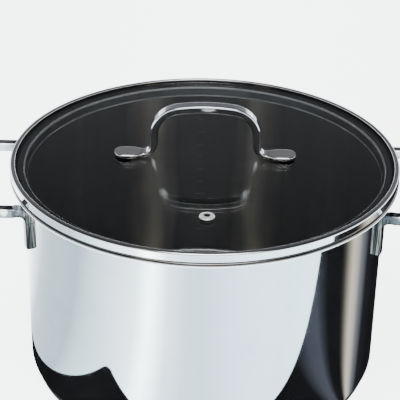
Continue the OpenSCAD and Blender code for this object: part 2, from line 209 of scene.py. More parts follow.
def bar_steel(name, dark, light):
    """Polished bar: lengthwise buffing lines; low down beside the wall its feet carry painted shade, dark with light
    streaks of painted reflection, and over the bend, within 0.19 m of the axis, patchy navy painted reflection.
    """
    m, nt, b = new_mat(name)
    co = object_coords(nt)
    sep = nt.nodes.new("ShaderNodeSeparateXYZ")
    nt.links.new(co, sep.inputs[0])
    x, y, z = sep.outputs
    r = math_node(nt, "SQRT", math_node(nt, "ADD", math_node(nt, "MULTIPLY", x, x), math_node(nt, "MULTIPLY", y, y)))
    # painted shade: the low part of the foot beside the wall takes the dark streaked tone below
    foot_shade_mask = math_node(nt, "MULTIPLY", ranged(nt, r, 1.0, 0.0, 0.164, 0.176), ranged(nt, z, 1.0, 0.0, 0.168, 0.180))
    cloud = noise(nt, co, 22.0, 4.0, 0.55, 0.4)
    tone = ramp(nt, cloud, [(0.30, dark), (0.52, light), (0.75, tuple(0.5 * (p + q) for p, q in zip(dark, light)))])
    streak = noise(nt, stretched(nt, co, 420.0, 420.0, 9.0), 1.0, 2.0, 0.55, 0.3)
    # painted shade and reflection: mostly black-grey streaks with a few light ones
    tint = ramp(nt, streak, [(0.38, (0.014, 0.013, 0.014)), (0.44, (0.11, 0.10, 0.085)), (0.48, (0.010, 0.009, 0.008)), (0.52, (0.016, 0.015, 0.013)), (0.55, (0.30, 0.285, 0.255)), (0.585, (0.012, 0.013, 0.016)), (0.66, (0.024, 0.025, 0.029)), (0.72, (0.17, 0.18, 0.195))])
    # painted reflection: patchy navy over the bar's inner part, by the bend
    navy_reflection_mask = math_node(nt, "MULTIPLY", ranged(nt, r, 1.0, 0.0, 0.178, 0.190), ranged(nt, noise(nt, co, 75.0, 2.0, 0.5, 0.3), 0.0, 0.85, 0.44, 0.54))
    nt.links.new(mixed(nt, foot_shade_mask, mixed(nt, navy_reflection_mask, tone, (0.035, 0.042, 0.056)), tint), b.inputs["Base Color"])
    b.inputs["Metallic"].default_value = 1.0
    nt.links.new(ranged(nt, cloud, 0.08, 0.15, 0.3, 0.7), b.inputs["Roughness"])
    fine = noise(nt, stretched(nt, co, 2600.0, 2600.0, 120.0), 1.0, 2.0, 0.6)
    nt.links.new(bump(nt, noise(nt, co, 30.0, 1.0, 0.4), 0.12, 0.00035, bump(nt, fine, 0.05, 0.00002)), b.inputs["Normal"])
    return m


def satin(name, dark, light, metal=0.8, r0=0.34, r1=0.44):
    """Flat that was ground before polishing: fine straight lines and a soft, wide highlight."""
    m, nt, b = new_mat(name)
    co = object_coords(nt)
    lines = noise(nt, stretched(nt, co, 160.0, 2600.0, 160.0), 1.0, 3.0, 0.6)
    nt.links.new(ramp(nt, lines, [(0.3, dark), (0.7, light)]), b.inputs["Base Color"])
    b.inputs["Metallic"].default_value = metal
    nt.links.new(ranged(nt, lines, r0, r1), b.inputs["Roughness"])
    nt.links.new(bump(nt, lines, 0.1, 0.00004), b.inputs["Normal"])
    return m


# painted sheen: soft upright bands of painted highlight, as brushed steel shows them, set into the tone by angle from
# the pot's front-back line, as a share of 90 degrees
PAINTED_SHEEN_BANDS = [(0.0, (0.10, 0.10, 0.10)), (0.12, (0.11, 0.11, 0.11)), (0.165, (0.34, 0.325, 0.29)), (0.20, (0.90, 0.85, 0.73)), (0.225, (1.0, 0.94, 0.80)), (0.27, (0.55, 0.51, 0.44)), (0.335, (0.175, 0.17, 0.165)),
        (0.46, (0.15, 0.15, 0.15)), (0.55, (0.36, 0.365, 0.37)), (0.66, (0.18, 0.18, 0.185)), (1.0, (0.17, 0.17, 0.175))]


def brushed(name, dark, light, r0, r1, k_angle, k_r, k_z, strength, aniso=0.6, stain=0.15, line_rough=0.6, painted_sheen=False):
    """Circumferentially brushed stainless steel, with fine lines, a few longer scratches and faint water stains; on
    request, upright bands of painted sheen multiply the tone by angle round the axis.
    """
    m, nt, b = new_mat(name)
    co = object_coords(nt)
    lines = noise(nt, polar(nt, co, k_angle, k_r, k_z), 1.0, 4.0, 0.62)
    coarse = noise(nt, polar(nt, co, k_angle * 0.35, k_r * 0.22, k_z * 0.22), 1.0, 3.0, 0.55)
    cloud = noise(nt, co, 15.0, 4.0, 0.55, 0.5)
    shade = ramp(nt, math_node(nt, "ADD", math_node(nt, "MULTIPLY", lines, 0.55), math_node(nt, "MULTIPLY", coarse, 0.45)), [(0.34, dark), (0.64, light)])
    warm = tuple(c * k for c, k in zip(light, (0.93, 0.88, 0.80)))
    stained = mixed(nt, ranged(nt, cloud, 0.0, stain, 0.52, 0.72), shade, warm)
    # painted sheen: the tone is multiplied by upright bands of painted highlight, by angle round the pot's axis
    if painted_sheen:
        sep = nt.nodes.new("ShaderNodeSeparateXYZ")
        nt.links.new(co, sep.inputs[0])
        turn = math_node(nt, "ARCTAN2", math_node(nt, "ABSOLUTE", sep.outputs[0]), math_node(nt, "ABSOLUTE", sep.outputs[1]))
        drift = math_node(nt, "ADD", turn, ranged(nt, noise(nt, co, 9.0, 2.0, 0.5), -0.03, 0.03))
        sheen_tone = ramp(nt, math_node(nt, "MULTIPLY", drift, 2.0 / math.pi), PAINTED_SHEEN_BANDS)
        both = nt.nodes.new("ShaderNodeMix")
        both.data_type = "RGBA"
        both.blend_type = "MULTIPLY"
        both.inputs["Factor"].default_value = 1.0
        a_, b_ = [i for i in both.inputs if i.type == "RGBA"]
        nt.links.new(stained, a_)
        nt.links.new(sheen_tone, b_)
        stained = [o for o in both.outputs if o.type == "RGBA"][0]
    nt.links.new(stained, b.inputs["Base Color"])
    b.inputs["Metallic"].default_value = 1.0
    b.inputs["Anisotropic"].default_value = aniso
    b.inputs["Anisotropic Rotation"].default_value = 0.25
    tan = nt.nodes.new("ShaderNodeTangent")
    tan.direction_type = "RADIAL"
    tan.axis = "Z"
    nt.links.new(tan.outputs[0], b.inputs["Tangent"])
    nt.links.new(ranged(nt, math_node(nt, "ADD", math_node(nt, "MULTIPLY", lines, line_rough), math_node(nt, "MULTIPLY", cloud, 1.0 - line_rough)), r0, r1, 0.35, 0.65), b.inputs["Roughness"])
    nt.links.new(bump(nt, lines, strength, 0.00006), b.inputs["Normal"])
    return m


def rubber(name, dark, light):
    m, nt, b = new_mat(name)
    co = object_coords(nt)
    grain = noise(nt, co, 2600.0, 3.0, 0.6)
    dust = noise(nt, co, 160.0, 4.0, 0.6, 0.3)
    nt.links.new(ramp(nt, dust, [(0.35, dark), (0.75, light)]), b.inputs["Base Color"])
    nt.links.new(ranged(nt, grain, 0.52, 0.74), b.inputs["Roughness"])
    nt.links.new(bump(nt, grain, 0.25, 0.00008), b.inputs["Normal"])
    b.inputs["Specular IOR Level"].default_value = 0.35
    return m


def wire_steel(name, dark, light):
    """Drawn wire, electropolished: die lines, tiny pits, and heat tint left by the spot welds."""
    m, nt, b = new_mat(name)
    co = object_coords(nt)
    pits = noise(nt, co, 1500.0, 2.0, 0.5)
    cloud = noise(nt, co, 90.0, 4.0, 0.6, 0.4)
    tone = ramp(nt, cloud, [(0.3, dark), (0.7, light)])
    tint = mixed(nt, ranged(nt, noise(nt, co, 34.0, 2.0, 0.5), 0.0, 0.22, 0.55, 0.75), tone, (0.62, 0.55, 0.44))
    nt.links.new(tint, b.inputs["Base Color"])
    b.inputs["Metallic"].default_value = 1.0
    nt.links.new(ranged(nt, cloud, 0.30, 0.42), b.inputs["Roughness"])
    nt.links.new(bump(nt, pits, 0.18, 0.00004), b.inputs["Normal"])
    return m


def glass_mat(name):
    """Clear tempered glass: a faint grey tint that drifts, and the slight roller wave of a tempered pane."""
    m, nt, b = new_mat(name)
    co = object_coords(nt)
    wave = noise(nt, co, 11.0, 1.0, 0.4)
    tint = ramp(nt, noise(nt, co, 7.0, 2.0, 0.5), [(0.3, (0.66, 0.68, 0.675)), (0.7, (0.71, 0.725, 0.72))])
    nt.links.new(tint, b.inputs["Base Color"])
    b.inputs["Roughness"].default_value = 0.0
    nt.links.new(bump(nt, wave, 0.02, 0.0002), b.inputs["Normal"])
    b.inputs["Transmission Weight"].default_value = 1.0
    b.inputs["IOR"].default_value = 1.45
    b.inputs["Specular IOR Level"].default_value = 0.5
    return m


M = {
    "pot_out": polished("steel_mirror_body", (0.62, 0.655, 0.685), (0.68, 0.71, 0.735), 0.03, 0.06, 0.05),
    # the inside wall and floor carry the painted sheen bands
    "pot_in": brushed("steel_brushed_inside", (0.82, 0.82, 0.84), (0.96, 0.955, 0.94), 0.33, 0.40, 3.0, 600.0, 1300.0, 0.012, 0.93, 0.25, 0.1, True),
    "mark": brushed("steel_etched_mark", (0.19, 0.19, 0.187), (0.25, 0.25, 0.247), 0.40, 0.60, 60.0, 2400.0, 2400.0, 0.4, 0.0, 0.0),
    "rim": polished("steel_mirror_rim", (0.76, 0.77, 0.79), (0.86, 0.865, 0.88), 0.03, 0.07, 0.10),
    # painted shade: the lid's skirt and rim channel, inside the pot, are a dark copy of the rim's polished steel
    "skirt": polished("steel_skirt_painted_shade", (0.13, 0.134, 0.145), (0.17, 0.174, 0.185), 0.10, 0.18, 0.10),
    # painted highlight: a pale, mostly non-metal finish that makes thin bright lines at the lip's under edge and the
    # skirt's rounds
    "edge": satin("steel_edge_painted_highlight", (0.86, 0.875, 0.90), (0.94, 0.95, 0.97), 0.25),
    # painted shade: the lip's outer round is a dark copy of the polished steel, so it reads as the shadow gap under the
    # lid's rim
    "lip": polished("steel_lip_painted_shade", (0.105, 0.10, 0.096), (0.15, 0.145, 0.14), 0.10, 0.20, 0.10),
    "handle": bar_steel("steel_polished_handle", (0.46, 0.475, 0.49), (0.56, 0.57, 0.585)),
    "knob": polished("steel_polished_knob", (0.68, 0.69, 0.71), (0.80, 0.81, 0.83), 0.05, 0.12, 0.20, "flat"),
    "cap": brushed("steel_turned_base", (0.55, 0.555, 0.565), (0.74, 0.745, 0.755), 0.20, 0.34, 6.0, 1500.0, 1200.0, 0.25, 0.5, 0.12),
    "core": brushed("aluminium_core", (0.62, 0.62, 0.63), (0.78, 0.78, 0.80), 0.35, 0.5, 6.0, 900.0, 900.0, 0.2, 0.0, 0.0),
    "fast": brushed("steel_turned_fastener", (0.55, 0.555, 0.565), (0.74, 0.745, 0.755), 0.18, 0.32, 40.0, 3000.0, 3000.0, 0.2, 0.0, 0.1),
    # ground flat on the handle's foot tops, its tone darkened as painted shade
    "knob_flat": satin("steel_ground_flat_painted_shade", (0.22, 0.225, 0.23), (0.28, 0.285, 0.29)),
    "eyelet": satin("steel_bright_eyelet", (0.86, 0.865, 0.87), (0.94, 0.945, 0.95), 0.6, 0.22, 0.32),
    # painted shade: the vent's bore is a dark copy of the steel, standing for the shade inside the hole
    "bore": satin("steel_bore_painted_shade", (0.05, 0.05, 0.052), (0.10, 0.10, 0.104)),
    "rubber": rubber("silicone_black", (0.010, 0.010, 0.011), (0.030, 0.030, 0.031)),
    "seal": rubber("silicone_rim_channel", (0.012, 0.012, 0.013), (0.028, 0.028, 0.030)),
    "wire": wire_steel("steel_drawn_wire", (0.36, 0.365, 0.372), (0.50, 0.505, 0.512)),
    "bail": wire_steel("steel_drawn_bail", (0.58, 0.585, 0.595), (0.76, 0.765, 0.775)),
    "lug": wire_steel("steel_stamped_lug", (0.52, 0.525, 0.535), (0.70, 0.705, 0.715)),
    "glass": glass_mat("glass_tempered"),
}


# ---------------------------------------------------------------- mesh helpers
class Shape:
    """Collects closed surfaces in millimetres, with a material index for each face."""

    def __init__(self):
        self.v, self.f, self.m = [], [], []

    def add(self, verts, faces, mats=None):
        o = len(self.v)
        self.v += verts
        self.f += [tuple(i + o for i in f) for f in faces]
        self.m += list(mats) if mats is not None else [0] * len(faces)

    def finish(self, name, body, nodes, slot, mats, sharp=38.0, weighted=True):
        me = bpy.data.meshes.new(name)
        me.from_pydata([(x * S, y * S, z * S) for x, y, z in self.v], [], self.f)
        for m in mats:
            me.materials.append(M[m])
        me.polygons.foreach_set("material_index", self.m)
        bm = bmesh.new()
        bm.from_mesh(me)
        bmesh.ops.recalc_face_normals(bm, faces=bm.faces)
        bm.to_mesh(me)
        bm.free()
        me.polygons.foreach_set("use_smooth", [True] * len(me.polygons))
        me.set_sharp_from_angle(angle=rad(sharp))
        me.update()
        ob = bpy.data.objects.new(name, me)
        bpy.context.scene.collection.objects.link(ob)
        if weighted:
            w = ob.modifiers.new("weighted", "WEIGHTED_NORMAL")
            w.mode = "FACE_AREA"
            w.weight = 80
            w.keep_sharp = True
        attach(ob, body)
        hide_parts(*nodes)
        return ob


def lathe(shape, prof, cols=360, cx=0.0, cy=0.0, mats=None, angles=None, move=None):
    """Revolves a closed profile of (r, z) points about the vertical through (cx, cy). r = 0 gives a pole.
    A point (r, z, 6) is on a hexagon. move(i, r, z, angle) may return a changed radius."""
    angles = angles or [360.0 * i / cols for i in range(cols)]
    n = len(angles)
    rows, verts = [], []
    for i, p in enumerate(prof):
        r, z = p[0], p[1]
        if r < 1e-6:
            rows.append([len(verts)])
            verts.append((cx, cy, z))
            continue
        row = []
        for a in angles:
            rr = r
            if len(p) > 2:
                rr = r * math.cos(rad(30)) / math.cos(rad((a % 60.0) - 30.0))
            if move:
                rr = move(i, rr, z, a)
            row.append(len(verts))
            verts.append((cx + rr * math.cos(rad(a)), cy + rr * math.sin(rad(a)), z))
        rows.append(row)
    faces, fm = [], []
    k = len(prof)
    for i in range(k):
        a, b = rows[i], rows[(i + 1) % k]
        mi = mats[i] if mats else 0
        if len(a) == 1 and len(b) == 1:
            continue
        for j in range(n):
            j2 = (j + 1) % n
            if len(a) == 1:
                faces.append((a[0], b[j2], b[j]))
            elif len(b) == 1:
                faces.append((a[j], a[j2], b[0]))
            else:
                faces.append((a[j], a[j2], b[j2], b[j]))
            fm.append(mi)
    shape.add(verts, faces, fm)


def hold(prof, h=0.3, tags=None):
    """Adds points close to both ends of each long straight stretch, so that flats stay flat when shaded smooth."""
    out, ot = [], []
    k = len(prof)
    for i in range(k):
        p, q = prof[i], prof[(i + 1) % k]
        t = tags[i] if tags else 0
        out.append(p)
        ot.append(t)
        d = math.hypot(q[0] - p[0], q[1] - p[1])
        if d > 4 * h and not (p[0] < 1e-6 and q[0] < 1e-6):
            for s in (h / d, 1 - h / d):
                x = (p[0] + (q[0] - p[0]) * s, p[1] + (q[1] - p[1]) * s)
                if x[0] > 1e-3:
                    out.append(x)
                    ot.append(t)
    return (out, ot) if tags else out


def sweep(shape, stations, caps=True, closed=False, mat=0):
    """Skins rings of points; every ring has the same number of points."""
    m = len(stations[0])
    verts = [p for ring in stations for p in ring]
    faces = []
    n = len(stations)
    for i in range(n if closed else n - 1):
        a, b = i * m, ((i + 1) % n) * m
        for j in range(m):
            j2 = (j + 1) % m
            faces.append((a + j, a + j2, b + j2, b + j))
    if caps and not closed:
        faces.append(tuple(range(m - 1, -1, -1)))
        faces.append(tuple((n - 1) * m + j for j in range(m)))
    shape.add(verts, faces, [mat] * len(faces))


def tube_ring(p, t, r, m, up=(0, 0, 1)):
    t = Vector(t).normalized()
    u = Vector(up)
    if abs(t.dot(u)) > 0.9:
        u = Vector((1, 0, 0))
    a = t.cross(u).normalized()
    b = t.cross(a).normalized()
    p = Vector(p)
    return [tuple(p + a * (r * math.cos(2 * math.pi * j / m)) + b * (r * math.sin(2 * math.pi * j / m))) for j in range(m)]


def tube(shape, path, radii, m=20, up=(0, 0, 1), mat=0):
    """Round wire along a path of points; radii is one number, or one for each point."""
    n = len(path)
    if isinstance(radii, (int, float)):
        radii = [radii] * n
    rings = []
    for i in range(n):
        a, b = Vector(path[max(0, i - 1)]), Vector(path[min(n - 1, i + 1)])
        if (b - a).length < 1e-9:
            b = a + Vector((0, 0, 1))
        rings.append(tube_ring(path[i], b - a, radii[i], m, up))
    sweep(shape, rings, mat=mat)


def rounded_ends(path, r, e=0.5):
    """The path and radii of a wire whose cut ends are broken by a small round of size e."""
    p0, p1 = Vector(path[0]), Vector(path[1])
    q0, q1 = Vector(path[-1]), Vector(path[-2])
    d0, d1 = (p1 - p0).normalized(), (q1 - q0).normalized()
    steps = [0.0, 0.2, 0.5, 1.0]
    start = [tuple(p0 + d0 * (e * s)) for s in steps]
    rs = [r - e * (1 - math.sqrt(max(0.0, 1 - (1 - s) ** 2))) for s in steps]
    end = [tuple(q0 + d1 * (e * s)) for s in reversed(steps)]
    return start + [tuple(p) for p in path[1:-1]] + end, rs + [r] * (len(path) - 2) + rs[::-1]


def torus(shape, R, r, z, n=360, m=24, mat=0):
    rings = []
    for i in range(n):
        a = 2 * math.pi * i / n
        rings.append([((R + r * math.cos(2 * math.pi * j / m)) * math.cos(a), (R + r * math.cos(2 * math.pi * j / m)) * math.sin(a), z + r * math.sin(2 * math.pi * j / m)) for j in range(m)])
    sweep(shape, rings, closed=True, mat=mat)


def bar_section(u, v, c, f=0.28, k=3):
    """Chamfered bar, its chamfers' edges broken by a small round."""
    pts = [(-u / 2 + c, -v / 2), (u / 2 - c, -v / 2), (u / 2, -v / 2 + c), (u / 2, v / 2 - c), (u / 2 - c, v / 2), (-u / 2 + c, v / 2), (-u / 2, v / 2 - c), (-u / 2, -v / 2 + c)]
    out = []
    n = len(pts)
    for i in range(n):
        p, a, b = Vector(pts[i]), Vector(pts[i - 1]), Vector(pts[(i + 1) % n])
        da, db = (a - p).normalized(), (b - p).normalized()
        s, e = p + da * f, p + db * f
        for j in range(k + 1):
            t = j / k
            out.append(tuple((s * (1 - t) + p * t) * (1 - t) + (p * (1 - t) + e * t) * t))
    return out


# ---------------------------------------------------------------- pot
zt = lip_z
prof, tags = [], []


def stretch(points, tag):
    for p in points:
        if prof and math.hypot(prof[-1][0] - p[0], prof[-1][1] - p[1]) < 1e-6:
            tags[-1] = tag
            continue
        prof.append(p)
        tags.append(tag)


# tag of a point = material of the face that follows it: 0 polished outside, 1 brushed inside, 3 lip with painted shade,
# 4 edge with painted highlight
stretch([(0, base_h)] + [(flat_r * k / 6, base_h) for k in range(1, 6)], 0)
stretch(arc(flat_r, base_h + corner_r, corner_r, -90, 0, 20), 0)
stretch([(pot_r, z) for z in (12.4, 14, 30, 60, 90, 120, 150, 175, 184, 186.0)], 0)
stretch(arc(pot_r + 1.5, zt - 2.5, 1.5, 180, 90, 12), 0)
stretch([(pot_r + 1.8, zt - 1), (lip_r - 2.8, zt - 1)], 0)
stretch(arc(lip_r - 2.5, zt - 2.5, 1.5, 90, 0, 12), 0)
stretch([(lip_r - 1, zt - lip_drop + 0.3), (lip_r - 0.92, zt - lip_drop + 0.1), (lip_r - 0.7, zt - lip_drop), (lip_r - 0.3, zt - lip_drop)], 0)
# the lip's under edge takes the pale painted-highlight finish (tag 4)
stretch([(lip_r - 0.08, zt - lip_drop + 0.1), (lip_r, zt - lip_drop + 0.3)], 4)
# the lip's outer round takes the dark painted-shade steel (tag 3)
stretch(arc(lip_r - 2.5, zt - 2.5, 2.5, 0, 90, 18), 3)
tags[-1] = 0
stretch([(lip_r - 2.8, zt), (pot_r + 1.8, zt)], 0)
stretch(arc(pot_r + 1.5, zt - 2.5, 2.5, 90, 180, 18), 0)
tags[-1] = 1
marks = [floor_z + litre_h * (i + 1) for i in range(1, 11)]
inner = {186.0, 180.0}
for z in marks:
    for d in (-0.42, -0.35, 0.35, 0.42):
        inner.add(round(z + d, 4))
inner |= {170.0, 14.0, 12.3, 25.0}
stretch([(in_r, z) for z in sorted(inner, reverse=True)], 1)
stretch(arc(flat_r, base_h + corner_r, corner_r - wall_t, 0, -90, 18), 1)
stretch([(flat_r * k, floor_z) for k in (0.995, 0.9, 0.75, 0.6, 0.45, 0.3, 0.15)] + [(0, floor_z)], 1)

mark_at = 91.7
half = {i: (1.7 if i % 5 == 4 else 1.0) for i in range(1, 11)}
angles = [float(a) for a in range(360)]
for h in (1.0, 1.7):
    for s in (-1, 1):
        angles += [mark_at + s * h, mark_at + s * (h + 0.04)]
angles = sorted(set(round(a, 4) for a in angles))


def groove(i, r, z, a):
    if abs(r - in_r) < 1e-6:
        for k, mz in enumerate(marks, 1):
            if abs(z - mz) < 0.36 and abs(a - mark_at) < half[k] + 0.01:
                return r + 0.2
    return r


s = Shape()
lathe(s, prof, angles=angles, mats=tags, move=groove)
# the grooves' own floors get the etched finish
for fi, f in enumerate(s.f):
    if s.m[fi] == 1 and all(math.hypot(s.v[i][0], s.v[i][1]) > in_r + 0.1 for i in f) and s.v[f[0]][1] > 100 and abs(s.v[f[0]][0]) < 20 and 20 < s.v[f[0]][2] < 170:
        s.m[fi] = 2
s.finish("pot_body", "pot", ["pot_shell"], "pot_steel", ["pot_out", "pot_in", "mark", "lip", "edge"])


def corner_z(r):
    return base_h + corner_r - math.sqrt(corner_r ** 2 - (r - flat_r) ** 2)


s = Shape()
ro, ri = base_r, base_r - cap_t
p = hold([(0, 0)] + arc(ro - 1.8, 1.8, 1.8, -90, 0, 14) + [(ro, corner_z(ro) - 0.03), (ri, corner_z(ri) - 0.03), (ri, cap_t + 1), (ri - 1, cap_t), (0, cap_t)], 0.3)
lathe(s, p)
s.finish("base_steel_cap", "pot", ["base_cap"], "base_steel", ["cap"])
s = Shape()
p = hold([(0, cap_t), (ri - 1, cap_t), (ri, cap_t + 1)] + [(r, corner_z(r) - 0.02) for r in (ri, ri - 0.6, ri - 1.2)] + [(flat_r, base_h), (0, base_h)], 0.3)
lathe(s, p)
s.finish("base_heat_disc", "pot", ["base_core"], "core_aluminium", ["core"])


# ---------------------------------------------------------------- side handles
def side_handle(name, node, turned):
    """One bar: foot on the wall, downward bend, turn into the leg, corner, grip, and the same back."""
    st = []  # point, side vector, normal vector, scale of the section
    er = Vector((math.cos(phi), math.sin(phi), 0))
    et = Vector((-math.sin(phi), math.cos(phi), 0))
    cxr, cz = foot_c + bend_r, bar_z - bend_r
    for z, k in ((foot_z, 0.80), (foot_z + 0.15, 0.88), (foot_z + 0.5, 0.955), (foot_z + 1.1, 1.0), (foot_z + 1.6, 1.0), (foot_z + 8, 1.0), (cz - 8, 1.0), (cz - 0.4, 1.0)):
        st.append((er * foot_c + Vector((0, 0, z)), et, er, k))
    for i in range(0, 25):
        a = rad(180 - 90 * i / 24)
        d = Vector((0, 0, 1)) * math.sin(a) + er * math.cos(a)
        st.append((er * (cxr + bend_r * math.cos(a)) + Vector((0, 0, cz + bend_r * math.sin(a))), et, d, 1.0))
    tl = turn_in * math.tan(phi / 2)
    px = turn_r * math.cos(phi)
    up = Vector((0, 0, 1))
    c = Vector((px + tl, leg_y - turn_in, bar_z))
    for i in range(0, 9):
        a = phi * (1 - i / 8)  # heading turns from the radial direction to +X
        h = Vector((math.cos(a), math.sin(a), 0))
        side = Vector((-math.sin(a), math.cos(a), 0))
        st.append((c + side * turn_in, side, up, 1.0))
    cx, cy = reach - bar_w / 2 - loop_r, leg_y - loop_r
    for x in (px + tl + 0.5, cx - 0.5):
        st.append((Vector((x, leg_y, bar_z)), Vector((0, 1, 0)), up, 1.0))
    for i in range(0, 25):
        a = rad(90 - 90 * i / 24)
        side = Vector((math.cos(a), math.sin(a), 0))
        st.append((Vector((cx, cy, bar_z)) + side * loop_r, side, up, 1.0))
    n0 = len(st)
    st += [(Vector((reach - bar_w / 2, y, bar_z)), Vector((1, 0, 0)), up, 1.0) for y in (cy - 0.5, 20, 0)]
    flip = [(Vector((p.x, -p.y, p.z)), Vector((s_.x, -s_.y, s_.z)), Vector((n_.x, -n_.y, n_.z)), k) for p, s_, n_, k in reversed(st[:-1])]
    st += flip
    sec = bar_section(bar_w, bar_t, bar_c)
    rings = []
    for p, sd, nm, k in st:
        ring = []
        for a, b in sec:
            q = p + sd * (a * k) + nm * (b * k)
            r = math.hypot(q.x, q.y)
            if r < pot_r + 0.02 and q.z < bar_z + 10:  # the welded foot follows the wall
                q.x *= (pot_r + 0.02) / r
                q.y *= (pot_r + 0.02) / r
            ring.append((-q.x, -q.y, q.z) if turned else tuple(q))
        rings.append(ring)
    sh = Shape()
    sweep(sh, rings)
    return sh.finish(name, "pot", [node], "handle_steel", ["handle"], 50.0)


side_handle("side_handle_right", "right_handle", False)
side_handle("side_handle_left", "left_handle", True)

# ---------------------------------------------------------------- lid
def disc_with_holes(shape, prof_edge, z0, z1, holes, n=360):
    """Flat disc: the rim's rings are revolved, and each face is filled with triangles round its holes."""
    bm = bmesh.new()
    rings = []
    for r, z in prof_edge:
        rings.append([bm.verts.new((r * math.cos(2 * math.pi * i / n), r * math.sin(2 * math.pi * i / n), z)) for i in range(n)])
    for a, b in zip(rings, rings[1:]):
        for i in range(n):
            bm.faces.new((a[i], a[(i + 1) % n], b[(i + 1) % n], b[i]))
    tops, bots = [], []
    for cx, cy, r, m in holes:
        bot = [bm.verts.new((cx + r * math.cos(2 * math.pi * i / m), cy + r * math.sin(2 * math.pi * i / m), z0)) for i in range(m)]
        top = [bm.verts.new((v.co.x, v.co.y, z1)) for v in bot]
        for i in range(m):
            bm.faces.new((bot[i], bot[(i + 1) % m], top[(i + 1) % m], top[i]))
        tops.append(top)
        bots.append(bot)
    for ring, hs in ((rings[0], bots), (rings[-1], tops)):
        edges = []
        for loop in [ring] + hs:
            for i in range(len(loop)):
                e = bm.edges.get((loop[i], loop[(i + 1) % len(loop)]))
                edges.append(e)
        bmesh.ops.triangle_fill(bm, use_beauty=True, use_dissolve=False, edges=edges)
    bm.verts.index_update()
    shape.add([tuple(v.co) for v in bm.verts], [tuple(v.index for v in f.verts) for f in bm.faces])
    bm.free()


s = Shape()
edge = [(glass_r - 0.6, glass_bot)] + arc(glass_r - 0.6, glass_bot + 0.6, 0.6, -78, -12, 6) + [(glass_r, glass_bot + 0.6), (glass_r, glass_top - 0.6)] + arc(glass_r - 0.6, glass_top - 0.6, 0.6, 12, 78, 6) + [(glass_r - 0.6, glass_top)]
disc_with_holes(s, edge, glass_bot, glass_top, [(screw_x, 0, 4.6, 48), (-screw_x, 0, 4.6, 48), (vent_x, vent_y, 4.2, 48)])
s.finish("lid_glass_disc", "lid", ["lid_glass"], "lid_glass", ["glass"], 4.0, weighted=False)

zb = lip_z + gap
prof, tags = [], []
stretch(arc(rim_r - 1.3, zb + 1.3, 1.3, -90, 0, 12), 0)
stretch([(rim_r, zb + 1.5), (rim_r, rim_z - 2.0)], 0)
stretch(arc(rim_r - 1.8, rim_z - 1.8, 1.8, 0, 90, 14), 0)
stretch([(rim_r - 2.0, rim_z), (rim_in + 1.0, rim_z)], 0)
stretch(arc(rim_in + 0.8, rim_z - 0.8, 0.8, 90, 180, 10), 0)
# tag 1: the rim's inside faces and skirt take the dark painted-shade steel
stretch([(rim_in, rim_z - 1.0), (rim_in, glass_top + 0.5), (rim_in + 0.1, glass_top + 0.4), (rim_r - 1.0, glass_top + 0.4), (rim_r - 0.8, glass_top + 0.2), (rim_r - 0.8, zb + 1.0), (rim_r - 1.0, zb + 0.8), (in_r + 0.6, zb + 0.8)], 1)
# tag 2 here and on the skirt's bottom bead below: the pale painted-highlight finish
stretch(arc(in_r + 0.3, zb - 0.4, 1.2, 90, 180, 10), 2)
stretch([(in_r - 0.95, zb - 0.8), (in_r - 2.396, zb - 6.3)], 1)
stretch([(in_r - 2.43, zb - 6.43), (in_r - 2.58, zb - 7.0), (in_r - 2.64, zb - 7.35), (in_r - 2.72, zb - 7.7), (in_r - 2.5, zb - 7.9)], 2)
stretch([(in_r - 2.1, zb - 7.9), (in_r - 1.9, zb - 7.7), (in_r - 1.84, zb - 7.5), (in_r - 0.3, zb - 0.9), (in_r - 0.25, zb - 0.7), (in_r + 0.25, zb), (in_r + 0.6, zb)], 1)
s = Shape()
lathe(s, prof, mats=tags)
s.finish("lid_steel_rim", "lid", ["lid_rim"], "rim_steel", ["rim", "skirt", "edge"])

zc = lip_z + gap + 0.8
ro = rim_r - 0.8
s = Shape()
lathe(s, hold([(glass_r - 4, zc), (ro, zc), (ro, glass_top + 0.4), (rim_in + 0.3, glass_top + 0.4), (rim_in + 0.3, glass_top), (glass_r - 0.6, glass_top), (glass_r, glass_top - 0.6), (glass_r, glass_bot + 0.6), (glass_r - 0.6, glass_bot), (glass_r - 4, glass_bot)], 0.15))
s.finish("lid_rim_seal", "lid", ["rim_seal"], "silicone", ["seal"])

# arched handle, one bar with flattened feet
ktop = glass_top + knob_h
kr, ka = 26.0, 9.0
kR = (knob_leg - kr + kr * math.cos(rad(90 - ka))) / math.sin(rad(ka))
kc = (knob_leg - kr, ktop - kR * (1 - math.cos(rad(ka))) - kr * math.sin(rad(90 - ka)))
kf = foot_bot + knob_ft
k_out, k_in = [], []
for i in range(0, 9):
    t = ka * i / 8
    k_out.append((kR * math.sin(rad(t)), ktop - kR * (1 - math.cos(rad(t)))))
    k_in.append(((kR - knob_t) * math.sin(rad(t)), ktop - knob_t - (kR - knob_t) * (1 - math.cos(rad(t)))))
for i in range(1, 25):
    t = (90 - ka) * (1 - i / 24)
    k_out.append((kc[0] + kr * math.cos(rad(t)), kc[1] + kr * math.sin(rad(t))))
    k_in.append((kc[0] + (kr - knob_t) * math.cos(rad(t)), kc[1] + (kr - knob_t) * math.sin(rad(t))))
for i in range(1, 5):
    k_out.append((knob_leg, kc[1] + (kf + 7 - kc[1]) * i / 4))
    k_in.append((knob_leg - knob_t, kc[1] + (foot_bot + 14 - kc[1]) * i / 4))
n_bar = len(k_out)
for i in range(1, 19):
    t = 180 + 5.0 * i
    k_out.append((knob_leg + 7 + 7 * math.cos(rad(t)), kf + 7 + 7 * math.sin(rad(t))))
    k_in.append((knob_leg - knob_t + 14 + 14 * math.cos(rad(t)), foot_bot + 14 + 14 * math.sin(rad(t))))
for x in (55.2, 57, 59, 61, 63, 65, 67, 69, 69.5, 70.2, 71, 71.8, 72.6, 73.3, 74, 74.6, 75.1, 75.6, 76, 76.4, 76.7, 76.9, knob_len):
    k_out.append((x, kf))
    k_in.append((x, foot_bot))


